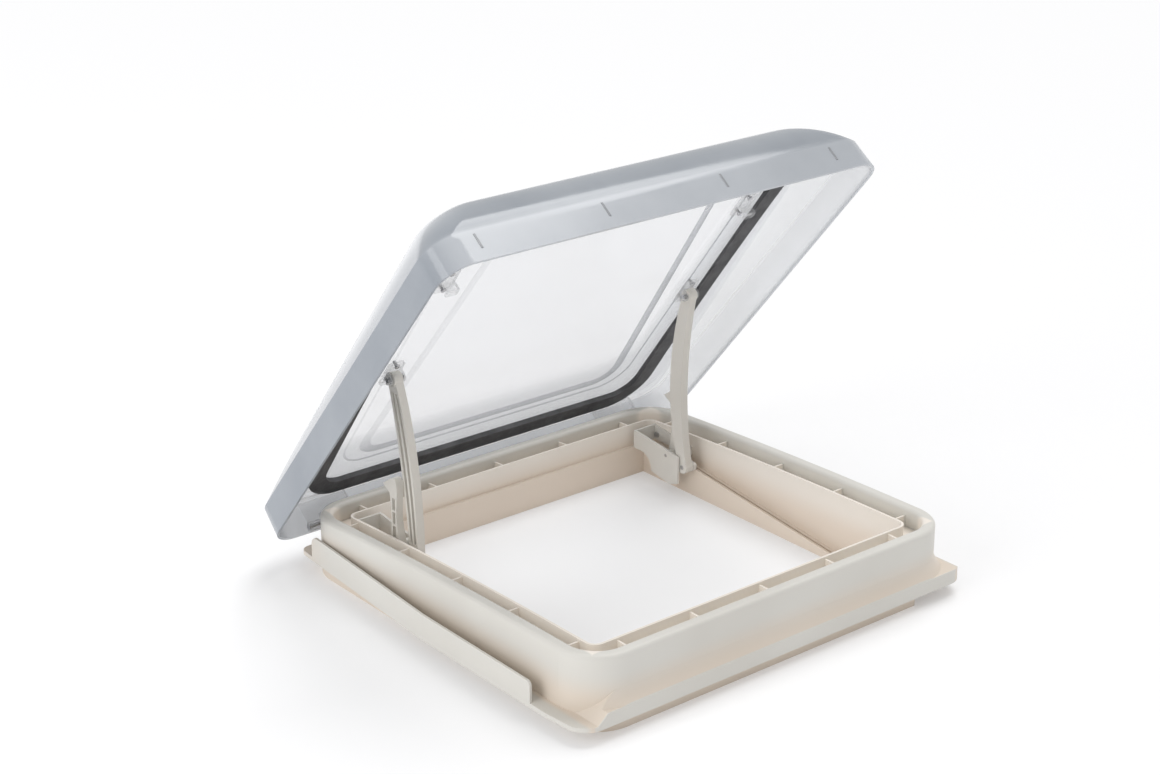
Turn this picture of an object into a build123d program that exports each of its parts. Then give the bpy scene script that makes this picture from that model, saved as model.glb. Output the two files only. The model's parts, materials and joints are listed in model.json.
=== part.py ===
from build123d import *
from math import atan2, cos, degrees, radians, sin, tan
import os

os.makedirs("parts", exist_ok=True)

# A lifting roof hatch for a caravan roof: a frame that sits over a 400 mm square cut-out,
# and a clear double-skinned dome that is hinged along the back and held up by two arms.
# X runs along the hinge, +Y towards the hinge, +Z up. The frame stands on z = 0.
# All sizes are in millimetres.

# Frame walls
inner_half_x = 200.0
inner_half_y = 192.5
inner_corner = 9.0
wall = 2.5
outer_half_x = 233.0
outer_half_y = 227.0
outer_corner = 44.0
rim_width = 13.3
rim_rounding = 4.0
rim_front_height = 75.6
rim_back_height = 61.3
rim_crown = 3.8
inner_wall_drop = 5.0
channel_depth = 14.0
deck = 3.0
web = 2.0
web_pitch = 87.0
webs_a_side = 5

# Lower body and roof flange
foot_height = 13.0
foot_width = 14.0
foot_setback = 1.0
foot_end_x = 182.0
foot_end_y = -150.0
flange_thickness = 4.5
flange_half_width = 250.0
flange_back_half_width = 235.5
flange_back_y = 232.0
flange_front_y = -235.0
flange_nose_half_width = 246.0
flange_taper_front_y = -185.0
flange_front_round = 22.0
flange_back_round = 10.0
front_band_depth = 8.0
front_band_height = 14.3
front_band_cove = 14.0
front_band_cove_turn = 60.0
front_band_left_x = -218.0
front_band_right_x = 237.5
front_band_slant = 16.0
front_band_ramp = 18.0
lip_height = 28.0
lip_front_height = 26.0
lip_thickness = 2.5
lip_front_y = -164.0
lip_right_front_y = -135.0
lip_back_y = 208.0
lip_front_round = 5.0
lip_back_round = 10.0

# Lower inner panels, guide rails and screw bosses
panel_height = 34.0
panel_thickness = 4.5
rail_thickness = 12.0
rail_rise = 0.1135
rail_low_y = -155.0
rail_high_y = 172.0
rail_groove_width = 3.0
rail_groove_depth = 3.0
rail_lip_width = 2.5
rail_lip_height = 2.0
boss_length = 16.0
boss_height = 32.0
boss_hole_radius = 1.6
boss_hole_depth = 22.0

# Hinge
hinge_gap_behind_wall = 6.1
hinge_height = 37.4
pin_radius = 2.0
pin_running_gap = 0.05
knuckle_radius = 5.2
knuckle_length = 22.0
hinge_inset = 74.0
leaf_length = 16.0
hinge_side_gap = 0.4
leaf_clearance = 1.9
leaf_back = 0.5
pin_head_radius = 3.4
pin_head_length = 1.5

# Dome, drawn flat in its own plane and opened by dome_tilt about the hinge
dome_tilt = 50.3
dome_closing_travel = 51.3
shell_thickness = 3.0
skirt_half_width = 269.0
skirt_front = 481.5
skirt_back = 10.5
skirt_bottom = -2.9
skirt_corner = 33.0
skirt_height = 31.6
skirt_lean = 1.3
dome_rise = 41.0
dome_slope = 1.6
border_side_ramp = 43.7
border_side_round = 6.0
border_front_ramp = 5.6
border_front_round = 50.8
border_back_ramp = 33.4
border_back_round = 21.6
top_corner = 46.6
border_steps = 6
skirt_ribs = 4
skirt_rib_pitch = 126.0
skirt_rib_length = 16.0
skirt_rib_depth = 4.0

# Inner pane and seal
pane_thickness = 3.0
pane_slope = 2.88
pane_height_at_hinge = 30.6
seal_width = 20.0
seal_corner = 47.0
seal_side_setback = 6.0
seal_end_setback = 2.0
seal_squeeze_gap = 0.5
seal_depth = 12.0

# Support arms
arm_lug_reach = 218.0
arm_pivot_drop = 8.0
arm_top_x = 190.0
arm_foot_x = 177.5
arm_foot_y = 107.0
arm_foot_height = 36.4
arm_width = 13.0
arm_thickness = 10.0
arm_eye_relief = 0.5
arm_eye_radius = 7.0
arm_bow = 5.4
arm_inward_bow = 7.5
arm_swell = 2.5
arm_margin = 0.08
arm_channel_depth = 5.5
arm_flange = 2.4
arm_pin_radius = 2.5
glide_thickness = 4.0
glide_length = 15.0
glide_height = 9.0
side_gap = 0.4

# Lugs under the pane
lug_ear = 3.5
lug_length = 34.0
lug_ear_length = 10.0
lug_side_gap = 0.9
lug_foot = 3.0
lug_screw_radius = 1.5
lug_screw_head_radius = 2.8
lug_screw_head = 1.6
catch_reach = 364.0
catch_x = 186.0
catch_length = 32.0
catch_width = 20.0
catch_drop = 15.0
catch_lip = 5.0

# Cheek brackets and hook levers
cheek_x = 169.0
cheek_thickness = 2.5
cheek_front_y = 110.0
cheek_back_gap = 0.5
cheek_top_front = 48.5
cheek_top_back = 56.5
cheek_bottom = 17.0
cheek_bevel = 14.0
cheek_bite_radius = 18.0
cheek_bite_height = 36.0
cheek_bite_gap = 12.0
lever_y = 130.0
lever_height = 44.0
lever_x = 185.0
lever_thickness = 8.0
lever_length = 74.0
lever_base_radius = 9.0
lever_waist = 9.0
lever_back_lean = 1.0
lever_hook_reach = 17.0
lever_hook_drop = 11.0
lever_head_length = 9.0
lever_pocket_depth = 4.0
lever_pockets = 3
lever_rib = 2.2
lever_pin_radius = 2.0
lever_boss_radius = 4.5
cheek_screw_radius = 1.7
cheek_screw_head_radius = 3.2
cheek_screw_head = 2.0
cheek_screw_pitch = 26.0
cheek_screw_y = 163.0
cheek_screw_height = 46.0
cheek_screw_length = 8.0

# Worked-out places
rim_inner_x = outer_half_x - rim_width
rim_inner_y = outer_half_y - rim_width
rim_inner_corner = outer_corner - rim_width
rim_mid_height = (rim_front_height + rim_back_height) / 2
foot_inner_x = outer_half_x - foot_setback - foot_width
foot_inner_y = outer_half_y - foot_setback - foot_width
foot_inner_corner = outer_corner - foot_setback - foot_width
hinge_y = outer_half_y + hinge_gap_behind_wall
hinge_station_x = skirt_half_width - hinge_inset
opening_half_x = inner_half_x - rail_thickness
opening_half_y = inner_half_y - panel_thickness
cheek_screw_places = [
    (cheek_screw_y - cheek_screw_pitch / 2, cheek_screw_height),
    (cheek_screw_y + cheek_screw_pitch / 2, cheek_screw_height),
]
tilt = radians(dome_tilt)
hinge_axis = Axis((0, hinge_y, hinge_height), (1, 0, 0))
dome_plane = Plane(
    origin=(0, hinge_y, hinge_height), x_dir=(1, 0, 0), z_dir=(0, sin(tilt), cos(tilt))
)


def finish(part, name):
    """Label one piece and write it to its own file."""
    part.label = name
    export_step(part, f"parts/{name}.step")


def dome_point(x, along, height):
    """Place of a point given in the dome's own plane; along is negative towards the front."""
    return dome_plane.from_local_coords(Vector(x, along, height))


def under_roofline(drop):
    """Everything below the frame's crowned top line, lowered by drop."""
    with BuildPart() as block:
        with BuildSketch(Plane.YZ) as side:
            with BuildLine():
                ThreePointArc(
                    (-outer_half_y, rim_front_height - drop),
                    (0, rim_mid_height + rim_crown - drop),
                    (outer_half_y, rim_back_height - drop),
                )
                Polyline(
                    (outer_half_y, rim_back_height - drop),
                    (outer_half_y, -rim_crown),
                    (-outer_half_y, -rim_crown),
                    (-outer_half_y, rim_front_height - drop),
                )
            make_face()
        extrude(amount=outer_half_x + wall, both=True)
    return block.part


def ring(inner_x, inner_y, inner_r, outer_x, outer_y, outer_r, top, bottom=0.0):
    """Upright rectangular ring between two rounded outlines."""
    with BuildPart() as tube:
        with BuildSketch(Plane.XY.offset(bottom)):
            RectangleRounded(2 * outer_x, 2 * outer_y, outer_r)
            RectangleRounded(2 * inner_x, 2 * inner_y, inner_r, mode=Mode.SUBTRACT)
        extrude(amount=top - bottom)
    return tube.part


# Rim wall: an upside-down U with a rounded top
tall = rim_front_height + 2 * rim_crown
with BuildPart() as rim:
    add(ring(rim_inner_x, rim_inner_y, rim_inner_corner,
             outer_half_x, outer_half_y, outer_corner, tall))
    add(under_roofline(0), mode=Mode.INTERSECT)
    top_faces = rim.faces().filter_by(lambda face: face.normal_at().Z > cos(radians(60)))
    fillet(top_faces.edges(), rim_rounding)

with BuildPart() as rim_hollow:
    add(ring(rim_inner_x + wall, rim_inner_y + wall, rim_inner_corner - wall,
             outer_half_x - wall, outer_half_y - wall, outer_corner - wall, tall, foot_height))
    add(under_roofline(2 * wall), mode=Mode.INTERSECT)

# Inner wall round the opening, and the deck of the channel beside it
with BuildPart() as inner_wall:
    add(ring(inner_half_x, inner_half_y, inner_corner,
             inner_half_x + wall, inner_half_y + wall, inner_corner + wall, tall))
    add(under_roofline(inner_wall_drop), mode=Mode.INTERSECT)

deck_drop = inner_wall_drop + channel_depth
with BuildPart() as channel_deck:
    add(ring(inner_half_x + wall, inner_half_y + wall, inner_corner + wall,
             rim_inner_x + wall, rim_inner_y + wall, rim_inner_corner - wall, tall))
    add(under_roofline(deck_drop), mode=Mode.INTERSECT)
    add(under_roofline(deck_drop + deck), mode=Mode.SUBTRACT)

# Open space below the deck, between the inner wall and the rim's outer skin
with BuildPart() as underside:
    add(ring(inner_half_x + wall, inner_half_y + wall, inner_corner + wall,
             outer_half_x - wall, outer_half_y - wall, outer_corner - wall, tall, -rim_crown))
    add(under_roofline(deck_drop + deck), mode=Mode.INTERSECT)

# Webs across the channel
with BuildPart() as webs:
    with BuildSketch():
        with GridLocations(web_pitch, 2 * rim_inner_y, webs_a_side, 2):
            Rectangle(web, 4 * rim_width)
        with GridLocations(2 * rim_inner_x, web_pitch, 2, webs_a_side):
            Rectangle(4 * rim_width, web)
    extrude(amount=tall)
    add(ring(inner_half_x + wall, inner_half_y + wall, inner_corner + wall,
             rim_inner_x, rim_inner_y, rim_inner_corner, tall), mode=Mode.INTERSECT)
    add(under_roofline(inner_wall_drop + wall), mode=Mode.INTERSECT)

def flange_slab(thickness):
    """Roof flange's outline, tapered at nose and tail, as a slab that stands on the foot."""
    with BuildPart() as slab:
        with BuildSketch(Plane.XY.offset(foot_height)) as plan:
            with BuildLine():
                Polyline(
                    (-flange_nose_half_width, flange_front_y),
                    (flange_nose_half_width, flange_front_y),
                    (flange_half_width, flange_taper_front_y),
                    (flange_half_width, 0),
                    (flange_back_half_width, flange_back_y),
                    (-flange_back_half_width, flange_back_y),
                    (-flange_half_width, 0),
                    (-flange_half_width, flange_taper_front_y),
                    close=True,
                )
            make_face()
            fillet(plan.vertices().group_by(Axis.Y)[0], flange_front_round)
            fillet(plan.vertices().group_by(Axis.Y)[-1], flange_back_round)
        extrude(amount=thickness)
    return slab.part


# Roof flange, open over the hollow of the rim
with BuildPart() as flange:
    add(flange_slab(flange_thickness))
    with BuildSketch():
        RectangleRounded(2 * foot_inner_x, 2 * foot_inner_y, foot_inner_corner)
    extrude(amount=tall, mode=Mode.SUBTRACT)

# Drip lips that stand along both side edges of the flange
lip_slope = (flange_half_width - flange_back_half_width) / flange_back_y
lip_back_x = flange_half_width - lip_slope * lip_back_y
lip_top = foot_height + lip_height
lip_front_top = foot_height + lip_front_height


def drip_lip(side, front_y):
    """Thin upright along one edge of the flange, rounded where its top runs out."""
    with BuildPart() as lip:
        with BuildSketch(Plane.XY.offset(foot_height)):
            with BuildLine():
                Polyline(
                    (side * flange_half_width, front_y),
                    (side * flange_half_width, 0),
                    (side * lip_back_x, lip_back_y),
                    (side * (lip_back_x - lip_thickness), lip_back_y),
                    (side * (flange_half_width - lip_thickness), 0),
                    (side * (flange_half_width - lip_thickness), front_y),
                    close=True,
                )
            make_face()
        extrude(amount=lip_height)
        with BuildSketch(Plane.YZ):
            with BuildLine():
                CenterArc(
                    (front_y + lip_front_round, lip_front_top - lip_front_round),
                    lip_front_round, 90, 90,
                )
                CenterArc(
                    (lip_back_y - lip_back_round, lip_top - lip_back_round), lip_back_round, 0, 90
                )
                Line((front_y + lip_front_round, lip_front_top), (lip_back_y - lip_back_round, lip_top))
                Polyline(
                    (front_y, lip_front_top - lip_front_round),
                    (front_y, foot_height),
                    (lip_back_y, foot_height),
                    (lip_back_y, lip_top - lip_back_round),
                )
            make_face()
        extrude(amount=flange_half_width, both=True, mode=Mode.INTERSECT)
    return lip.part


# Raised step along the flange's front edge, coved into the rim wall
band_top = foot_height + front_band_height
straight_x = outer_half_x - outer_corner
corner_y = outer_half_y - outer_corner
cove_turn = radians(front_band_cove_turn)
cove_outward = Vector(-sin(cove_turn), -cos(cove_turn), 0)
cove_start = Vector(-straight_x, -corner_y, band_top) + cove_outward * outer_corner
with BuildPart() as front_band:
    with BuildSketch(Plane.YZ.offset(-flange_half_width)):
        with BuildLine():
            Polyline(
                (-outer_half_y - front_band_depth, foot_height),
                (-outer_half_y - front_band_depth, band_top),
                (-corner_y - front_band_ramp, band_top),
                (-corner_y, foot_height + flange_thickness),
                (-corner_y, foot_height),
                close=True,
            )
        make_face()
    extrude(amount=front_band_right_x + flange_half_width)
    with BuildLine(Plane.XY.offset(band_top)):
        CenterArc((-straight_x, -corner_y), outer_corner,
                  270 - front_band_cove_turn, front_band_cove_turn)
        Line((-straight_x, -outer_half_y), (straight_x, -outer_half_y))
        CenterArc((straight_x, -corner_y), outer_corner, 270, front_band_cove_turn)
    cove_plane = Plane(
        origin=cove_start, x_dir=cove_outward, z_dir=cove_outward.cross(Vector(0, 0, 1))
    )
    with BuildSketch(cove_plane):
        with BuildLine():
            Polyline(
                (0, front_band_cove),
                (-wall / 2, front_band_cove),
                (-wall / 2, -wall),
                (front_band_depth, -wall),
                (front_band_depth, 0),
            )
            RadiusArc((front_band_depth, 0), (0, front_band_cove), 2 * front_band_cove)
        make_face()
    sweep()
    slant_end = Plane(
        origin=(front_band_left_x - front_band_slant, 0, foot_height),
        z_dir=(front_band_height, 0, -front_band_slant),
    )
    split(bisect_by=slant_end, keep=Keep.TOP)
    add(flange_slab(tall), mode=Mode.INTERSECT)

# The foot is left out at the front right corner
with BuildPart() as foot_gap:
    add(ring(foot_inner_x, foot_inner_y, foot_inner_corner,
             outer_half_x, outer_half_y, outer_corner, foot_height))
    with Locations(((foot_end_x + outer_half_x) / 2, (foot_end_y - outer_half_y) / 2, 0)):
        Box(outer_half_x - foot_end_x, outer_half_y + foot_end_y, 2 * foot_height,
            mode=Mode.INTERSECT)

# Knuckles behind the rim that carry the hinge pins
with BuildPart() as knuckles:
    for side in (-1, 1):
        start = side * hinge_station_x - knuckle_length / 2
        with BuildSketch(Plane.YZ.offset(start)):
            with Locations((hinge_y, hinge_height)):
                Circle(knuckle_radius)
            with Locations(((hinge_y + corner_y) / 2, hinge_height)):
                Rectangle(hinge_y - corner_y, 2 * knuckle_radius)
        extrude(amount=knuckle_length)
    with BuildSketch():
        RectangleRounded(2 * outer_half_x - wall, 2 * outer_half_y - wall, outer_corner - wall / 2)
    extrude(amount=tall, mode=Mode.SUBTRACT)

with BuildPart() as base_frame:
    add(rim.part)
    add(front_band.part)
    add(rim_hollow.part, mode=Mode.SUBTRACT)
    add(underside.part, mode=Mode.SUBTRACT)
    add(inner_wall.part)
    add(channel_deck.part)
    add(webs.part)
    add(flange.part)
    add(drip_lip(-1, lip_front_y))
    add(drip_lip(1, lip_right_front_y))
    add(knuckles.part)
    # Solid foot that stands on the roof
    add(ring(foot_inner_x, foot_inner_y, foot_inner_corner, outer_half_x - foot_setback,
             outer_half_y - foot_setback, outer_corner - foot_setback, foot_height))
    add(foot_gap.part, mode=Mode.SUBTRACT)
    # Lower panels at the back and the front
    with Locations(Location((0, inner_half_y - panel_thickness / 2, panel_height / 2)),
                   Location((0, -inner_half_y + panel_thickness / 2, panel_height / 2))):
        Box(2 * inner_half_x, panel_thickness, panel_height)
    # Corner bosses for the screws that pull the inner trim frame up from below
    boss_x = inner_half_x - rail_thickness / 2
    boss_y = opening_half_y - boss_length / 2
    with Locations((0, 0, boss_height / 2)):
        with GridLocations(2 * boss_x, 2 * boss_y, 2, 2):
            Box(rail_thickness, boss_length, boss_height)
    with Locations((0, 0, boss_hole_depth / 2)):
        with GridLocations(2 * boss_x, 2 * boss_y, 2, 2):
            Cylinder(boss_hole_radius, boss_hole_depth, mode=Mode.SUBTRACT)
    # Holes for the cheek brackets' screws
    for screw_y, screw_z in cheek_screw_places:
        with Locations(Location((0, screw_y, screw_z), (0, 90, 0))):
            Cylinder(cheek_screw_radius, 2 * rim_inner_x, mode=Mode.SUBTRACT)
    # Bores for the hinge pins
    for side in (-1, 1):
        with Locations(Location((side * hinge_station_x, hinge_y, hinge_height), (0, 90, 0))):
            Cylinder(pin_radius + pin_running_gap, 2 * knuckle_length, mode=Mode.SUBTRACT)
finish(base_frame.part, "base_frame")


def sloped_plane(height, slope):
    """Plane at a height over the hinge that rises towards the dome's front by slope degrees."""
    turn = tilt + radians(slope)
    return Plane(
        origin=dome_point(0, 0, height), x_dir=(1, 0, 0), z_dir=(0, sin(turn), cos(turn))
    )


def dome_body(inset):
    """Solid dome form, pulled in by inset on every side but the open bottom."""
    with BuildPart() as body:
        for step in range(-1, border_steps + 1):
            turn = radians(90 * max(step, 0) / border_steps)
            up = sin(turn)
            over = 1 - cos(turn)
            lean = skirt_lean if step >= 0 else 0.0
            climb = skirt_height if step >= 0 else 0.0
            crest = dome_rise - inset
            half_width = skirt_half_width - lean - border_side_ramp * up - border_side_round * over
            front = skirt_front - lean - border_front_ramp * up - border_front_round * over
            back = skirt_back - lean - border_back_ramp * up - border_back_round * over
            corner = skirt_corner + (top_corner - skirt_corner) * max(step, 0) / border_steps
            with BuildSketch(sloped_plane(skirt_bottom + climb + crest * up, dome_slope * up)):
                with Locations((0, (back - front) / 2)):
                    RectangleRounded(
                        2 * (half_width - inset), front + back - 2 * inset, corner - inset
                    )
        loft(ruled=True)
    return body.part


dome_cavity = dome_body(shell_thickness)

with BuildPart() as dome_outer_shell:
    add(dome_body(0))
    add(dome_cavity, mode=Mode.SUBTRACT)
    # Short stiffening ribs on the inside of the front skirt
    rib_middle = dome_plane.offset(skirt_bottom + skirt_height / 2)
    with BuildSketch(rib_middle):
        with Locations((0, -skirt_front + skirt_lean / 2 + shell_thickness + skirt_rib_depth / 2)):
            with GridLocations(skirt_rib_pitch, 0, skirt_ribs, 1):
                Rectangle(web, skirt_rib_depth + shell_thickness)
    extrude(amount=skirt_rib_length / 2, both=True)
finish(dome_outer_shell.part, "dome_outer_shell")

# The inner pane closes the dome from below, sloped to match the wedge-shaped frame
pane_plane = sloped_plane(pane_height_at_hinge, pane_slope)


def pane_height(reach):
    """Height of the pane's underside over the hinge plane, at a distance from the hinge."""
    return pane_height_at_hinge + reach * tan(radians(pane_slope))


lug_gap = arm_thickness + 2 * lug_side_gap
lug_width = lug_gap + 2 * lug_ear
lug_screw_pitch = lug_length - 2 * lug_screw_head_radius - web
catch_screw_pitch = catch_length - 2 * lug_screw_head_radius - web
lug_places = [(side * arm_top_x, -arm_lug_reach) for side in (-1, 1)]
catch_places = [(side * catch_x, -catch_reach) for side in (-1, 1)]
with BuildPart() as dome_inner_pane:
    add(dome_cavity)
    split(bisect_by=pane_plane, keep=Keep.TOP)
    split(bisect_by=pane_plane.offset(pane_thickness), keep=Keep.BOTTOM)
    with BuildSketch(pane_plane):
        with Locations(*lug_places):
            with GridLocations(0, lug_screw_pitch, 1, 2):
                Circle(lug_screw_radius)
        with Locations(*catch_places):
            with GridLocations(0, catch_screw_pitch, 1, 2):
                Circle(lug_screw_radius)
    extrude(amount=pane_thickness, mode=Mode.SUBTRACT)
finish(dome_inner_pane.part, "dome_inner_pane")

# Seal under the pane, trimmed to the rim that it closes on
with BuildPart() as dome_seal:
    with BuildSketch(pane_plane):
        with Locations((0, -hinge_y)):
            RectangleRounded(
                2 * (outer_half_x - seal_side_setback),
                2 * (outer_half_y - seal_end_setback),
                seal_corner,
            )
            RectangleRounded(
                2 * (outer_half_x - seal_side_setback - seal_width),
                2 * (outer_half_y - seal_end_setback - seal_width),
                seal_corner - seal_width,
                mode=Mode.SUBTRACT,
            )
    extrude(amount=-seal_depth)
    closed_rim = under_roofline(-seal_squeeze_gap)
    add(closed_rim.rotate(hinge_axis, -dome_closing_travel), mode=Mode.SUBTRACT)
    add(dome_cavity, mode=Mode.INTERSECT)
finish(dome_seal.part, "dome_seal")

# Forked hinge blocks bonded behind the seal, one leaf each side of a frame knuckle
fork_half = knuckle_length / 2 + hinge_side_gap + leaf_length
leaf_front = -hinge_gap_behind_wall + leaf_clearance
for side, name in ((-1, "left"), (1, "right")):
    with BuildPart() as hinge_block:
        with BuildSketch(Plane.YZ.offset(side * hinge_station_x - fork_half)):
            with Locations((hinge_y, hinge_height)):
                Circle(knuckle_radius)
        extrude(amount=2 * fork_half)
        with BuildSketch(dome_plane):
            with Locations((side * hinge_station_x, (leaf_back + leaf_front) / 2)):
                Rectangle(2 * fork_half, leaf_back - leaf_front)
        extrude(amount=pane_height_at_hinge + knuckle_radius)
        split(bisect_by=pane_plane, keep=Keep.BOTTOM)
        with BuildSketch(Plane.YZ.offset(side * hinge_station_x)):
            with Locations((hinge_y, hinge_height)):
                Circle(2 * knuckle_radius)
        extrude(amount=knuckle_length / 2 + hinge_side_gap, both=True, mode=Mode.SUBTRACT)
        with Locations(Location((side * hinge_station_x, hinge_y, hinge_height), (0, 90, 0))):
            Cylinder(pin_radius, 3 * fork_half, mode=Mode.SUBTRACT)
    finish(hinge_block.part, f"{name}_hinge_block")

    with BuildPart() as hinge_pin:
        with Locations(Location((side * hinge_station_x, hinge_y, hinge_height), (0, 90, 0))):
            Cylinder(pin_radius, 2 * fork_half)
        head_x = side * (hinge_station_x + fork_half + pin_head_length / 2)
        with Locations(Location((head_x, hinge_y, hinge_height), (0, 90, 0))):
            Cylinder(pin_head_radius, pin_head_length)
    finish(hinge_pin.part, f"{name}_hinge_pin")

# Guide rails: wedges with a grooved, lipped top edge, one on each side wall


def rail_layer(side, from_x, to_x, lift):
    """A slice of the rail between two distances from its outer face, its top raised by lift."""
    start = inner_half_x - to_x if side > 0 else -(inner_half_x - from_x)
    high = rail_rise * (rail_high_y - rail_low_y)
    nose_y = rail_low_y + max(-lift, 0) / rail_rise
    with BuildPart() as layer:
        with BuildSketch(Plane.YZ.offset(start)):
            with BuildLine():
                Polyline(
                    (nose_y, 0),
                    (rail_high_y, 0),
                    (rail_high_y, high + lift),
                    (nose_y, max(lift, 0)),
                    close=True,
                )
            make_face()
        extrude(amount=to_x - from_x)
    return layer.part


groove_from = (rail_thickness - rail_groove_width) / 2
groove_to = groove_from + rail_groove_width
for side, name in ((-1, "left"), (1, "right")):
    with BuildPart() as guide_rail:
        add(rail_layer(side, 0, groove_from, 0))
        add(rail_layer(side, groove_from, groove_to, -rail_groove_depth))
        add(rail_layer(side, groove_to, rail_thickness - rail_lip_width, 0))
        add(rail_layer(side, rail_thickness - rail_lip_width, rail_thickness, rail_lip_height))
    finish(guide_rail.part, f"{name}_guide_rail")

# Support arms, from a glide beside the rail up to a lug on the pane
arm_pivot_height = pane_height(arm_lug_reach) - arm_pivot_drop
arm_top = dome_point(0, -arm_lug_reach, arm_pivot_height)
arm_foot = Vector(arm_foot_x, arm_foot_y, arm_foot_height)
arm_run = arm_top - Vector(0, arm_foot_y, arm_foot_height)
half_width = arm_width / 2
arm_lean = arm_top_x - arm_foot_x


def arm_middle(share):
    """Middle of the bowed, leaning arm at a fraction of its length from the foot."""
    bow = sin(radians(180 * share))
    middle = arm_foot + arm_run * share
    return middle + Vector(arm_lean * share - arm_inward_bow * bow, arm_bow * bow, 0)


def arm_spread(share):
    """Factor by which the arm is wider at a fraction of its length than at its ends."""
    return 1 + arm_swell / half_width * sin(radians(180 * share))


def arm_strip(side, low_x, high_x, low_y, high_y, margin):
    """Strip along the arm between offsets across its thickness and across its width."""
    shares = (margin, 0.5, 1 - margin)
    stations = [arm_middle(share) for share in shares]
    low_edge = [arm_middle(share).Y + low_y * arm_spread(share) for share in shares]
    high_edge = [arm_middle(share).Y + high_y * arm_spread(share) for share in shares]
    with BuildPart() as strip:
        with BuildSketch(Plane.YZ):
            with BuildLine():
                low = ThreePointArc(*[(y, m.Z) for y, m in zip(low_edge, stations)])
                high = ThreePointArc(*[(y, m.Z) for y, m in zip(high_edge, stations)])
                Line(low @ 0, high @ 0)
                Line(low @ 1, high @ 1)
            make_face()
        extrude(amount=inner_half_x, both=True)
        with BuildSketch(Plane.XZ):
            with BuildLine():
                low = ThreePointArc(*[(side * (m.X + low_x), m.Z) for m in stations])
                high = ThreePointArc(*[(side * (m.X + high_x), m.Z) for m in stations])
                Line(low @ 0, high @ 0)
                Line(low @ 1, high @ 1)
            make_face()
        extrude(amount=outer_half_y, both=True, mode=Mode.INTERSECT)
    return strip.part


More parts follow.
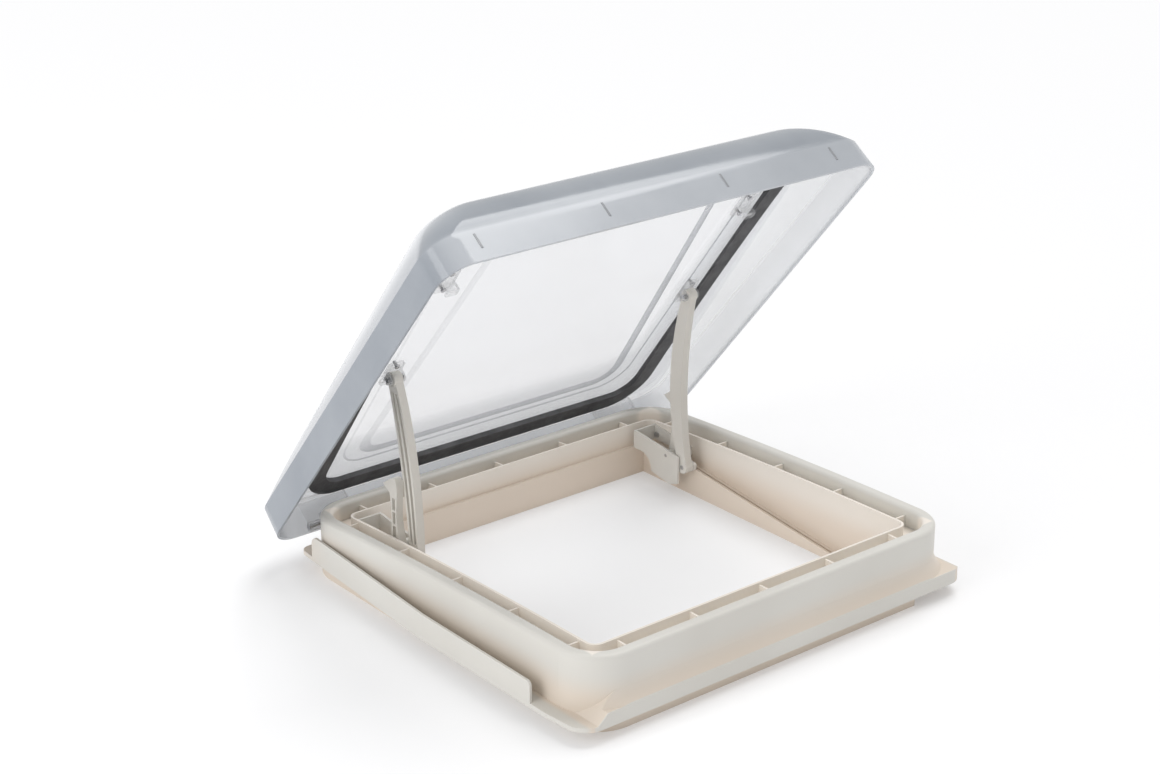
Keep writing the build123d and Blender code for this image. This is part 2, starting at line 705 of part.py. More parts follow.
bar_thickness = arm_thickness - 2 * arm_eye_relief
half_bar = bar_thickness / 2
foot_pin_length = arm_thickness + side_gap + glide_thickness
rail_angle = degrees(atan2(rail_rise, 1))
for side, name in ((-1, "left"), (1, "right")):
    foot = (side * arm_foot_x, arm_foot_y, arm_foot_height)
    top = (side * arm_top_x, arm_top.Y, arm_top.Z)
    with BuildPart() as support_arm:
        add(arm_strip(side, -half_bar, half_bar, -half_width, half_width, 0))
        for place in (foot, top):
            with Locations(Location(place, (0, 90, 0))):
                Cylinder(arm_eye_radius, arm_thickness)
        # Open channels on the outer face, with a rib left along the middle
        for low_y, high_y in (
            (-half_width + arm_flange, -arm_flange / 2),
            (arm_flange / 2, half_width - arm_flange),
        ):
            add(arm_strip(side, half_bar - arm_channel_depth, half_bar + side_gap, low_y, high_y,
                          arm_margin), mode=Mode.SUBTRACT)
        with Locations(Location(top, (0, 90, 0))):
            Cylinder(arm_pin_radius + pin_running_gap, 2 * arm_thickness, mode=Mode.SUBTRACT)
        with Locations(Location(foot, (0, 90, 0))):
            Cylinder(arm_pin_radius, 2 * arm_thickness, mode=Mode.SUBTRACT)
    finish(support_arm.part, f"{name}_support_arm")

    glide_x = arm_foot_x + arm_thickness / 2 + side_gap + glide_thickness / 2
    with BuildPart() as foot_glide:
        with BuildSketch(
            Plane(origin=(side * glide_x, arm_foot_y, arm_foot_height), x_dir=(0, 1, rail_rise),
                  z_dir=(1, 0, 0))
        ):
            RectangleRounded(glide_length, glide_height, glide_height / 3)
            Circle(arm_pin_radius + pin_running_gap, mode=Mode.SUBTRACT)
        extrude(amount=glide_thickness / 2, both=True)
    finish(foot_glide.part, f"{name}_foot_glide")

    with BuildPart() as foot_pin:
        pin_x = arm_foot_x - arm_thickness / 2 + foot_pin_length / 2
        with Locations(Location((side * pin_x, arm_foot_y, arm_foot_height), (0, 90, 0))):
            Cylinder(arm_pin_radius, foot_pin_length)
    finish(foot_pin.part, f"{name}_foot_pin")

    with BuildPart() as arm_lug:
        with BuildSketch(pane_plane):
            with Locations((side * arm_top_x, -arm_lug_reach)):
                RectangleRounded(lug_width, lug_length, lug_ear)
        extrude(amount=-lug_foot)
        for ear in (-1, 1):
            ear_x = side * arm_top_x + ear * (lug_width - lug_ear) / 2
            with BuildSketch(Plane(origin=(ear_x, arm_top.Y, arm_top.Z), x_dir=(0, 1, 0),
                                   z_dir=(1, 0, 0))):
                Circle(lug_ear_length / 2)
            extrude(amount=lug_ear / 2, both=True)
            with BuildSketch(dome_plane.offset(arm_pivot_height)):
                with Locations((ear_x, -arm_lug_reach)):
                    Rectangle(lug_ear, lug_ear_length)
            extrude(amount=arm_pivot_drop)
        split(bisect_by=pane_plane, keep=Keep.BOTTOM)
        with BuildSketch(pane_plane):
            with Locations((side * arm_top_x, -arm_lug_reach)):
                with GridLocations(0, lug_screw_pitch, 1, 2):
                    Circle(lug_screw_radius)
        extrude(amount=-lug_foot, mode=Mode.SUBTRACT)
        with Locations(Location(top, (0, 90, 0))):
            Cylinder(arm_eye_radius + side_gap, lug_gap, mode=Mode.SUBTRACT)
            Cylinder(arm_pin_radius, 2 * lug_width, mode=Mode.SUBTRACT)
    finish(arm_lug.part, f"{name}_arm_lug")

    with BuildPart() as arm_pin:
        with Locations(Location(top, (0, 90, 0))):
            Cylinder(arm_pin_radius, lug_width)
    finish(arm_pin.part, f"{name}_arm_pin")

    with BuildPart() as catch_lug:
        with BuildSketch(pane_plane):
            with Locations((side * catch_x, -catch_reach)):
                RectangleRounded(catch_width, catch_length, lug_ear)
        extrude(amount=-lug_foot)
        with BuildSketch(pane_plane):
            with Locations((side * catch_x, -catch_reach)):
                Rectangle(catch_width - 2 * lug_ear, lug_ear)
        extrude(amount=-catch_drop)
        with BuildSketch(pane_plane.offset(-catch_drop)):
            with Locations((side * catch_x, -catch_reach + catch_lip / 2)):
                Rectangle(catch_width - 2 * lug_ear, catch_lip + lug_ear)
        extrude(amount=lug_foot)
        with BuildSketch(pane_plane):
            with Locations((side * catch_x, -catch_reach)):
                with GridLocations(0, catch_screw_pitch, 1, 2):
                    Circle(lug_screw_radius)
        extrude(amount=-lug_foot, mode=Mode.SUBTRACT)
    finish(catch_lug.part, f"{name}_catch_lug")

# Screws that hold the four lugs to the pane
with BuildPart() as lug_screws:
    for plane, radius, length in (
        (pane_plane, lug_screw_radius, -lug_foot),
        (pane_plane, lug_screw_radius, pane_thickness),
        (pane_plane.offset(-lug_foot), lug_screw_head_radius, -lug_screw_head),
    ):
        with BuildSketch(plane):
            with Locations(*lug_places):
                with GridLocations(0, lug_screw_pitch, 1, 2):
                    Circle(radius)
            with Locations(*catch_places):
                with GridLocations(0, catch_screw_pitch, 1, 2):
                    Circle(radius)
        extrude(amount=length)
finish(lug_screws.part, "lug_screws")

# Cheek brackets beside the opening, with the hook levers between their two plates
lever_inner_x = lever_x - lever_thickness / 2
lever_outer_x = lever_x + lever_thickness / 2
cheek_back_y = inner_half_y - inner_corner - cheek_back_gap
bite_y = cheek_back_y - cheek_bite_gap
bite_z = cheek_bite_height - cheek_bite_radius
for side, name in ((-1, "left"), (1, "right")):
    with BuildPart() as cheek_bracket:
        inner_face = side * cheek_x if side > 0 else side * (cheek_x + cheek_thickness)
        with BuildSketch(Plane.YZ.offset(inner_face)):
            with BuildLine():
                Polyline(
                    (cheek_front_y, cheek_bottom),
                    (cheek_front_y, cheek_top_front),
                    (cheek_back_y, cheek_top_back),
                    (cheek_back_y, cheek_bite_height),
                    (bite_y, cheek_bite_height),
                )
                CenterArc((bite_y, bite_z), cheek_bite_radius, 90, 90)
                Polyline(
                    (bite_y - cheek_bite_radius, bite_z),
                    (cheek_front_y + cheek_bevel, cheek_bottom - cheek_bevel / 3),
                    (cheek_front_y, cheek_bottom),
                )
            make_face()
        extrude(amount=cheek_thickness)
        outer_face = inner_half_x - cheek_thickness if side > 0 else -inner_half_x
        rail_top = rail_rise * (rail_high_y - rail_low_y) + rail_lip_height
        with BuildSketch(Plane.YZ.offset(outer_face)):
            with BuildLine():
                Polyline(
                    (lever_y - lever_base_radius, rail_top + side_gap),
                    (lever_y - lever_base_radius, cheek_top_front),
                    (cheek_back_y, cheek_top_back),
                    (cheek_back_y, rail_top + side_gap),
                    close=True,
                )
            make_face()
        extrude(amount=cheek_thickness)
        # Web across the back, above the lower panel
        web_height = cheek_top_back - rail_top - side_gap
        with Locations((side * (cheek_x + inner_half_x) / 2, cheek_back_y - cheek_thickness / 2,
                        cheek_top_back - web_height / 2)):
            Box(inner_half_x - cheek_x, cheek_thickness, web_height - side_gap)
        # Bosses for the lever's pin
        for from_x, to_x in (
            (cheek_x, lever_inner_x - side_gap),
            (lever_outer_x + side_gap, inner_half_x - cheek_thickness / 2),
        ):
            place = (side * (from_x + to_x) / 2, lever_y, lever_height)
            with Locations(Location(place, (0, 90, 0))):
                Cylinder(lever_boss_radius, to_x - from_x)
        with Locations(Location((side * lever_x, lever_y, lever_height), (0, 90, 0))):
            Cylinder(lever_pin_radius, 2 * (inner_half_x - cheek_x), mode=Mode.SUBTRACT)
        for screw_y, screw_z in cheek_screw_places:
            with Locations(Location((side * inner_half_x, screw_y, screw_z), (0, 90, 0))):
                Cylinder(cheek_screw_radius, 4 * cheek_thickness, mode=Mode.SUBTRACT)
    finish(cheek_bracket.part, f"{name}_cheek_bracket")

    with BuildPart() as cheek_screws:
        for screw_y, screw_z in cheek_screw_places:
            shank_x = inner_half_x - cheek_thickness + cheek_screw_length / 2
            with Locations(Location((side * shank_x, screw_y, screw_z), (0, 90, 0))):
                Cylinder(cheek_screw_radius, cheek_screw_length)
            head_x = inner_half_x - cheek_thickness - cheek_screw_head / 2
            with Locations(Location((side * head_x, screw_y, screw_z), (0, 90, 0))):
                Cylinder(cheek_screw_head_radius, cheek_screw_head)
    finish(cheek_screws.part, f"{name}_cheek_screws")

    # Hook lever: a waisted upright with a hooked head that points back
    with BuildPart() as hook_lever:
        neck = lever_height + lever_length - lever_hook_drop - lever_head_length
        crown = lever_height + lever_length
        with BuildSketch(Plane.YZ.offset(side * lever_x)):
            with BuildLine():
                Spline(
                    (lever_y - lever_base_radius, lever_height),
                    (lever_y - lever_waist / 2, (lever_height + neck) / 2),
                    (lever_y - lever_waist / 2 - lever_back_lean, neck),
                    (lever_y - lever_waist / 4, crown),
                    tangents=((0, 1), (1, 1)),
                )
                Polyline(
                    (lever_y - lever_waist / 4, crown),
                    (lever_y + lever_waist / 2, crown - lever_rib),
                    (lever_y + lever_hook_reach, crown - lever_hook_drop),
                    (lever_y + lever_hook_reach - lever_rib, crown - lever_hook_drop - lever_rib),
                    (lever_y + lever_waist / 2 + lever_rib, neck + lever_rib),
                )
                Spline(
                    (lever_y + lever_waist / 2 + lever_rib, neck + lever_rib),
                    (lever_y + lever_waist / 2, (lever_height + neck) / 2),
                    (lever_y + lever_base_radius, lever_height),
                )
                CenterArc((lever_y, lever_height), lever_base_radius, 180, 180)
            make_face()
        extrude(amount=lever_thickness / 2, both=True)
        # Ribbed outer side
        pocket_top = neck - lever_rib
        pocket_bottom = lever_height + lever_base_radius
        pocket_reach = (pocket_top - pocket_bottom - (lever_pockets - 1) * lever_rib) / lever_pockets
        pocket_x = side * (lever_x + lever_thickness / 2 - lever_pocket_depth / 2)
        for level in range(lever_pockets):
            pocket_z = pocket_bottom + pocket_reach / 2 + level * (pocket_reach + lever_rib)
            with Locations((pocket_x, lever_y, pocket_z)):
                Box(lever_pocket_depth, lever_waist - 2 * lever_rib, pocket_reach,
                    mode=Mode.SUBTRACT)
        with Locations(Location((side * lever_x, lever_y, lever_height), (0, 90, 0))):
            Cylinder(lever_pin_radius + pin_running_gap, 2 * lever_thickness, mode=Mode.SUBTRACT)
    finish(hook_lever.part, f"{name}_hook_lever")

    with BuildPart() as lever_pin:
        pin_x = (cheek_x + inner_half_x - cheek_thickness / 2) / 2
        with Locations(Location((side * pin_x, lever_y, lever_height), (0, 90, 0))):
            Cylinder(lever_pin_radius, inner_half_x - cheek_thickness / 2 - cheek_x)
    finish(lever_pin.part, f"{name}_lever_pin")
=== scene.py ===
"""Looks of a lifting roof hatch: a wedge-shaped frame with a clear, hinged dome, shown open."""

import json
import logging
import math
from dataclasses import dataclass
from enum import Enum

import bpy
import numpy as np
from mathutils import Euler, Matrix, Vector

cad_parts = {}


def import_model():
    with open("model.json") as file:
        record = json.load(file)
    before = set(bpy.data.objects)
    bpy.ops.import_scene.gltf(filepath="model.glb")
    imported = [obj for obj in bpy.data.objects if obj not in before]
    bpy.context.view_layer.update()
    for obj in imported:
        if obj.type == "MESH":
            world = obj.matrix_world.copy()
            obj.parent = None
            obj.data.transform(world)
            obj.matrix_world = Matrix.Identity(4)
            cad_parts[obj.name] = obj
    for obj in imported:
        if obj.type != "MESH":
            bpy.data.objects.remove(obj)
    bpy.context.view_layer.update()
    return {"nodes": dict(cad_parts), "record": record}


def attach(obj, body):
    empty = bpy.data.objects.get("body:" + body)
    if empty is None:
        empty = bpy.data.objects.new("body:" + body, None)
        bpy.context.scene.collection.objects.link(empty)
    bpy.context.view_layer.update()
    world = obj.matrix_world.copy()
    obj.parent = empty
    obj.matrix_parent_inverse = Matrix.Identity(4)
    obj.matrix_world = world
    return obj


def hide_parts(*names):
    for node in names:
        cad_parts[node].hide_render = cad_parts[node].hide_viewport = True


LOG = logging.getLogger("roof_hatch")
WHITE = (1.0, 1.0, 1.0)
NOISE_LOW, NOISE_HIGH = 0.3, 0.7
CREASE_ANGLE = 32.0

Color = tuple[float, float, float]
Place = tuple[float, float, float]
Span = tuple[float, float]
Socket = bpy.types.NodeSocket


class Body(Enum):
    """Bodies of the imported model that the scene's own pieces ride on."""

    DOME = "dome"


class Slot(Enum):
    """Material slots of the record."""

    IVORY = "ivory_plastic"
    FITTINGS = "fittings_plastic"
    TINTED = "tinted_acrylic"
    CLEAR = "clear_acrylic"
    SEAL = "seal_rubber"
    STEEL = "pin_steel"


class Axis(Enum):
    """Directions in the frame's own coordinates."""

    ACROSS = "X"
    ALONG = "Y"
    HEIGHT = "Z"


def linear(red: int, green: int, blue: int) -> Color:
    """Turn a display colour into the linear values that shaders take.

    Args:
        red: Red from 0 to 255.
        green: Green from 0 to 255.
        blue: Blue from 0 to 255.

    Returns:
        The colour in linear light.
    """
    display = np.array([red, green, blue]) / 255.0
    curve = np.where(display <= 0.04045, display / 12.92, ((display + 0.055) / 1.055) ** 2.4)
    return tuple(float(channel) for channel in curve)


class Shader:
    """A small builder for one node material."""

    def __init__(self, name: str) -> None:
        """Start a material with one Principled shader.

        Args:
            name: The material's name.
        """
        self.material = bpy.data.materials.new(name)
        self.material.use_nodes = True
        self.nodes = self.material.node_tree.nodes
        self.links = self.material.node_tree.links
        self.surface = self.nodes["Principled BSDF"]
        self.place = self.nodes.new("ShaderNodeTexCoord").outputs["Object"]

    def set(self, **values: float | Color) -> None:
        """Set sockets of the Principled shader; an underscore in a name stands for a space."""
        for name, value in values.items():
            socket = self.surface.inputs[name.replace("_", " ")]
            socket.default_value = (*value, 1.0) if isinstance(value, tuple) else value

    def drive(self, name: str, output: Socket) -> None:
        """Feed a Principled socket from an output."""
        self.links.new(output, self.surface.inputs[name])

    def noise(self, scale: float, detail: float = 3.0, stretch: Place = (1.0, 1.0, 1.0)) -> Socket:
        """Add noise on object coordinates.

        Args:
            scale: Noise scale, in waves a metre.
            detail: Octaves of finer noise.
            stretch: Scale of each axis before the noise.

        Returns:
            The noise node's factor output.
        """
        mapping = self.nodes.new("ShaderNodeMapping")
        mapping.inputs["Scale"].default_value = stretch
        texture = self.nodes.new("ShaderNodeTexNoise")
        texture.inputs["Scale"].default_value = scale
        texture.inputs["Detail"].default_value = detail
        self.links.new(self.place, mapping.inputs["Vector"])
        self.links.new(mapping.outputs["Vector"], texture.inputs["Vector"])
        return texture.outputs["Fac"]

    def spread(self, factor: Socket, low: float, high: float) -> Socket:
        """Map noise, which keeps near the middle of 0 to 1, onto a range.

        Args:
            factor: The output to map.
            low: Value at the low end.
            high: Value at the high end.

        Returns:
            The mapped output.
        """
        node = self.nodes.new("ShaderNodeMapRange")
        node.inputs["From Min"].default_value = NOISE_LOW
        node.inputs["From Max"].default_value = NOISE_HIGH
        node.inputs["To Min"].default_value = low
        node.inputs["To Max"].default_value = high
        self.links.new(factor, node.inputs["Value"])
        return node.outputs["Result"]

    def fade(self, value: Socket, span: Span) -> Socket:
        """Turn a value into a factor that falls smoothly from 1 at the span's start to 0 at its end.

        Args:
            value: The output to turn.
            span: Where the factor starts and ends falling.

        Returns:
            The factor's output.
        """
        node = self.nodes.new("ShaderNodeMapRange")
        node.interpolation_type = "SMOOTHSTEP"
        node.inputs["From Min"].default_value = span[0]
        node.inputs["From Max"].default_value = span[1]
        node.inputs["To Min"].default_value = 1.0
        node.inputs["To Max"].default_value = 0.0
        self.links.new(value, node.inputs["Value"])
        return node.outputs["Result"]

    def blend(self, factor: Socket, first: Color | Socket, second: Color | Socket) -> Socket:
        """Mix two colours by a factor.

        Args:
            factor: The mixing output.
            first: Colour or output at 0.
            second: Colour or output at 1.

        Returns:
            The mixed colour's output.
        """
        node = self.nodes.new("ShaderNodeMix")
        node.data_type = "RGBA"
        sockets = [socket for socket in node.inputs if socket.type == "RGBA"]
        for socket, value in zip(sockets, (first, second)):
            if isinstance(value, tuple):
                socket.default_value = (*value, 1.0)
            else:
                self.links.new(value, socket)
        self.links.new(factor, node.inputs["Factor"])
        return [socket for socket in node.outputs if socket.type == "RGBA"][0]

    def math(self, operation: str, *values: float | Socket) -> Socket:
        """Work out one step of arithmetic.

        Args:
            operation: Name of the step.
            values: Outputs or numbers that it takes, up to three.

        Returns:
            The result's output.
        """
        node = self.nodes.new("ShaderNodeMath")
        node.operation = operation
        for socket, value in zip(node.inputs, values):
            if isinstance(value, (int, float)):
                socket.default_value = value
            else:
                self.links.new(value, socket)
        return node.outputs["Value"]

    def attribute(self, name: str) -> Socket:
        """Read a number that is stored on the piece's points."""
        node = self.nodes.new("ShaderNodeAttribute")
        node.attribute_name = name
        return node.outputs["Fac"]

    def axis(self, axis: Axis) -> Socket:
        """Read the height, or the distance from the middle of the frame across or along it.

        Args:
            axis: The direction.

        Returns:
            The height's or distance's output, in metres.
        """
        node = self.nodes.new("ShaderNodeSeparateXYZ")
        self.links.new(self.place, node.inputs[0])
        output = node.outputs[axis.value]
        return output if axis is Axis.HEIGHT else self.math("ABSOLUTE", output)

    def slant(self, blend: float) -> Socket:
        """Read how far the surface turns away from the eye, as Fresnel's share."""
        node = self.nodes.new("ShaderNodeLayerWeight")
        node.inputs["Blend"].default_value = blend
        return node.outputs["Fresnel"]

    def bump(self, height: Socket, distance: float, strength: float) -> None:
        """Add a bump to the shader's normal.

        Args:
            height: The height output.
            distance: Full height in metres.
            strength: Share of the bump that is used.
        """
        node = self.nodes.new("ShaderNodeBump")
        node.inputs["Distance"].default_value = distance
        node.inputs["Strength"].default_value = strength
        self.links.new(height, node.inputs["Height"])
        self.drive("Normal", node.outputs["Normal"])


@dataclass(frozen=True)
class MouldedPlastic:
    """Ivory plastic with faint flow marks and a fine moulded grain, painted lighter and warmer inside the rim
    as painted light, and browner low on its walls as painted shade.
    """

    name: str = "ivory_plastic"
    light: Color = linear(219, 217, 211)
    shade: Color = linear(212, 209, 202)
    cloud_scale: float = 7.0
    # Painted light: a lighter, warmer colour inside the rim, standing in for light bounced between its walls.
    painted_hollow_light: Color = linear(245, 237, 227)
    painted_hollow_light_share: float = 0.85
    hollow_half_x: float = 0.2195
    hollow_half_y: float = 0.2135
    hollow_edge: Span = (0.985, 1.0)
    # Painted shade: a browner colour low on the wall, standing in for shade in the crease above the flange.
    foot: Color = linear(226, 207, 187)
    painted_foot_shade_share: float = 0.55
    foot_heights: Span = (0.028, 0.058)
    foot_across: Span = (0.2335, 0.2400)
    foot_along: Span = (0.2335, 0.2345)
    roughness: float = 0.42
    rougher: float = 0.06
    smoother: float = 0.05
    patch_scale: float = 38.0
    grain_scale: float = 1400.0
    grain_height: float = 0.00006
    grain_share: float = 0.35
    gloss: float = 0.32
    ior: float = 1.5

    def material(self) -> bpy.types.Material:
        """Build the material: painted light inside the rim, painted shade low on the wall by the flange."""
        shader = Shader(self.name)
        cloud = shader.spread(shader.noise(self.cloud_scale, 2.0), 0.0, 1.0)
        face = shader.blend(cloud, self.shade, self.light)
        # Painted light inside the rim, then painted shade low on the wall.
        face = shader.blend(self.painted_hollow_light_mask(shader), face, self.painted_hollow_light)
        face = shader.blend(self.painted_foot_shade_mask(shader), face, self.foot)
        shader.drive("Base Color", face)
        patch = shader.noise(self.patch_scale, 2.0)
        rough = shader.spread(patch, self.roughness - self.smoother, self.roughness + self.rougher)
        shader.drive("Roughness", rough)
        shader.bump(shader.noise(self.grain_scale, 2.0), self.grain_height, self.grain_share)
        shader.set(IOR=self.ior, Specular_IOR_Level=self.gloss)
        return shader.material

    def painted_hollow_light_mask(self, shader: Shader) -> Socket:
        """Mark all that lies inside the rim's outline, where the painted light goes."""
        across = shader.math("DIVIDE", shader.axis(Axis.ACROSS), self.hollow_half_x)
        along = shader.math("DIVIDE", shader.axis(Axis.ALONG), self.hollow_half_y)
        inside = shader.fade(shader.math("MAXIMUM", across, along), self.hollow_edge)
        return shader.math("MULTIPLY", inside, self.painted_hollow_light_share)

    def painted_foot_shade_mask(self, shader: Shader) -> Socket:
        """Mark the low part of the wall, up to where the flange sets out, for the painted shade."""
        low = shader.fade(shader.axis(Axis.HEIGHT), self.foot_heights)
        beside = shader.fade(shader.axis(Axis.ACROSS), self.foot_across)
        before = shader.fade(shader.axis(Axis.ALONG), self.foot_along)
        foot = shader.math("MULTIPLY", shader.math("MULTIPLY", low, beside), before)
        return shader.math("MULTIPLY", foot, self.painted_foot_shade_share)


@dataclass(frozen=True)
class ClearAcrylic:
    """See-through acrylic, a little milky, and denser where it is seen at a slant."""

    name: str = "clear_acrylic"
    tint: Color = linear(217, 220, 228)
    body: float = 0.062
    slant_body: float = 0.14
    slant_blend: float = 0.22
    smear_scale: float = 22.0
    smear: float = 0.08
    roughness: float = 0.08
    rougher: float = 0.03
    smoother: float = 0.02
    ior: float = 1.49

    def material(self) -> bpy.types.Material:
        """Build the material."""
        shader = Shader(self.name)
        shader.set(Base_Color=self.tint, IOR=self.ior)
        slant = shader.slant(self.slant_blend)
        smear = shader.noise(self.smear_scale, 2.0)
        body = shader.spread(smear, (1.0 - self.smear) * self.body, (1.0 + self.smear) * self.body)
        shader.drive("Alpha", shader.math("MULTIPLY_ADD", slant, self.slant_body, body))
        rough = shader.spread(smear, self.roughness - self.smoother, self.roughness + self.rougher)
        shader.drive("Roughness", rough)
        return shader.material


@dataclass(frozen=True)
class TintedSkin:
    """Acrylic skin that reads its painted light and shade, how milky and how light it is, from its own
    points.
    """

    name: str = "tinted_acrylic"
    # Ends of the painted shade and painted light that the stored tone blends between.
    dark: Color = linear(140, 146, 154)
    light: Color = linear(244, 247, 251)
    smear_scale: float = 14.0
    smear: float = 0.04
    slant_body: float = 0.06
    slant_blend: float = 0.2
    roughness: float = 0.1
    rougher: float = 0.05
    smoother: float = 0.02
    ior: float = 1.49

    def material(self) -> bpy.types.Material:
        """Build the material."""
        shader = Shader(self.name)
        smear = shader.noise(self.smear_scale)
        tone = shader.math("ADD", shader.attribute("tone"), shader.spread(smear, -self.smear, self.smear))
        shader.drive("Base Color", shader.blend(tone, self.dark, self.light))
        slant = shader.slant(self.slant_blend)
        alpha = shader.math("MULTIPLY_ADD", slant, self.slant_body, shader.attribute("milk"))
        shader.drive("Alpha", shader.math("MINIMUM", alpha, 1.0))
        rough = shader.spread(smear, self.roughness - self.smoother, self.roughness + self.rougher)
        shader.drive("Roughness", rough)
        shader.set(IOR=self.ior)
        return shader.material


@dataclass(frozen=True)
class SealRubber:
    """Soft black rubber with a dull bloom."""

    name: str = "seal_rubber"
    light: Color = linear(82, 82, 84)
    dark: Color = linear(60, 60, 62)
    bloom_scale: float = 55.0
    patch_scale: float = 300.0
    roughness: Span = (0.55, 0.72)
    grain_scale: float = 900.0
    grain_height: float = 0.00012
    grain_share: float = 0.5

    def material(self) -> bpy.types.Material:
        """Build the material."""
        shader = Shader(self.name)
        bloom = shader.spread(shader.noise(self.bloom_scale), 0.0, 1.0)
        shader.drive("Base Color", shader.blend(bloom, self.dark, self.light))
        shader.drive("Roughness", shader.spread(shader.noise(self.patch_scale, 2.0), *self.roughness))
        shader.bump(shader.noise(self.grain_scale), self.grain_height, self.grain_share)
        return shader.material


@dataclass(frozen=True)
class BrightSteel:
    """Drawn steel for pins and screws."""

    name: str = "bright_steel"
    color: Color = linear(190, 190, 192)
    line_scale: float = 600.0
    line_stretch: Place = (0.05, 1.0, 1.0)
    roughness: Span = (0.24, 0.36)

    def material(self) -> bpy.types.Material:
        """Build the material."""
        shader = Shader(self.name)
        shader.set(Base_Color=self.color, Metallic=1.0)
        lines = shader.noise(self.line_scale, 2.0, self.line_stretch)
        shader.drive("Roughness", shader.spread(lines, *self.roughness))
        return shader.material


@dataclass(frozen=True)
class Studio:
    """White floor, soft lights and a camera at the picture's viewing angle."""

    camera_place: Place = (-1.35479, -1.57793, 1.03927)
    yaw: float = 39.41
    pitch: float = 21.83
    roll: float = 0.147
    lens: float = 71.27
    sensor_width: float = 36.0
    floor_size: float = 9.0
    floor_tint: Color = linear(252, 252, 253)
    whitening: float = 0.22
    sky: float = 0.62
    sun_place: Place = (0.44, 0.16, 1.0)
    sun_spread: float = 36.0
    sun_strength: float = 1.30
    fill_place: Place = (-2.5, -0.1, 1.1)
    fill_size: float = 1.8
    fill_power: float = 24.0
    aim: Place = (0.0, 0.0, 0.1)

    def build(self) -> None:
        """Make the floor, the world, the lights and the camera."""
        self.make_floor()
        self.make_world()
        self.make_sun()
        self.make_fill()
        self.make_camera()

    def make_floor(self) -> None:
        """Lay a white floor that takes the shadow."""
        half = self.floor_size / 2
        corners = [(-half, -half, 0), (half, -half, 0), (half, half, 0), (-half, half, 0)]
        mesh = bpy.data.meshes.new("floor")
        mesh.from_pydata(corners, [], [(0, 1, 2, 3)])
        floor = bpy.data.objects.new("floor", mesh)
        bpy.context.scene.collection.objects.link(floor)
        shader = Shader("studio_floor")
        shader.set(Base_Color=self.floor_tint, Roughness=1.0, Specular_IOR_Level=0.0)
        self.whiten(shader)
        mesh.materials.append(shader.material)

    def whiten(self, shader: Shader) -> None:
        """Let the camera see the floor's shadows softened towards white.

        Args:
            shader: The floor's shader.
        """
        glow = shader.nodes.new("ShaderNodeEmission")
        glow.inputs["Color"].default_value = (*WHITE, 1.0)
        path = shader.nodes.new("ShaderNodeLightPath")
        mix = shader.nodes.new("ShaderNodeMixShader")
        share = shader.math("MULTIPLY", path.outputs["Is Camera Ray"], self.whitening)
        shader.links.new(share, mix.inputs["Fac"])
        shader.links.new(shader.surface.outputs["BSDF"], mix.inputs[1])
        shader.links.new(glow.outputs["Emission"], mix.inputs[2])
        shader.links.new(mix.outputs["Shader"], shader.nodes["Material Output"].inputs["Surface"])

    def make_world(self) -> None:
        """Light the scene evenly, and show plain white behind it and through clear pieces."""
        world = bpy.data.worlds.new("studio")
        bpy.context.scene.world = world
        world.use_nodes = True
        nodes, links = world.node_tree.nodes, world.node_tree.links
        background = nodes["Background"]
        background.inputs["Color"].default_value = (*WHITE, 1.0)
        path = nodes.new("ShaderNodeLightPath")
        seen = nodes.new("ShaderNodeMath")
        seen.operation = "MAXIMUM"
        level = nodes.new("ShaderNodeMapRange")
        level.inputs["To Min"].default_value = self.sky
        level.inputs["To Max"].default_value = 1.0
        links.new(path.outputs["Is Camera Ray"], seen.inputs[0])
        links.new(path.outputs["Is Transmission Ray"], seen.inputs[1])
        links.new(seen.outputs["Value"], level.inputs["Value"])
        links.new(level.outputs["Result"], background.inputs["Strength"])

    def hang(self, lamp: bpy.types.Light, place: Place) -> None:
        """Hang a lamp so that it points at the object.

        Args:
            lamp: The lamp.
            place: Its place in metres, or for a sun the way that it shines from.
        """
        holder = bpy.data.objects.new(lamp.name, lamp)
        holder.location = place
        direction = Vector(self.aim) - Vector(place)
        holder.rotation_euler = direction.to_track_quat("-Z", "Y").to_euler()
        bpy.context.scene.collection.objects.link(holder)

    def make_sun(self) -> None:
        """Add an even light from above with a wide, soft source."""
        lamp = bpy.data.lights.new("overhead", "SUN")
        lamp.angle = math.radians(self.sun_spread)
        lamp.energy = self.sun_strength
        self.hang(lamp, self.sun_place)

    def make_fill(self) -> None:
        """Add a square soft light on the left."""
        lamp = bpy.data.lights.new("left_fill", "AREA")
        lamp.size = self.fill_size
        lamp.energy = self.fill_power
        self.hang(lamp, self.fill_place)

    def make_camera(self) -> None:
        """Set up the camera."""
        camera = bpy.data.cameras.new("photo_camera")
        camera.lens = self.lens
        camera.sensor_width = self.sensor_width
        holder = bpy.data.objects.new("photo_camera", camera)
        holder.location = self.camera_place
        level = Euler((math.radians(90.0 - self.pitch), 0.0, -math.radians(self.yaw))).to_matrix()
        holder.rotation_euler = (level @ Matrix.Rotation(math.radians(self.roll), 3, "Z")).to_euler()
        bpy.context.scene.collection.objects.link(holder)
        bpy.context.scene.camera = holder


def smooth_step(value: np.ndarray, start: float, end: float) -> np.ndarray:
    """Rise from 0 at start to 1 at end along 3t squared minus 2t cubed."""
    share = np.clip((value - start) / (end - start), 0.0, 1.0)
    return share * share * (3.0 - 2.0 * share)


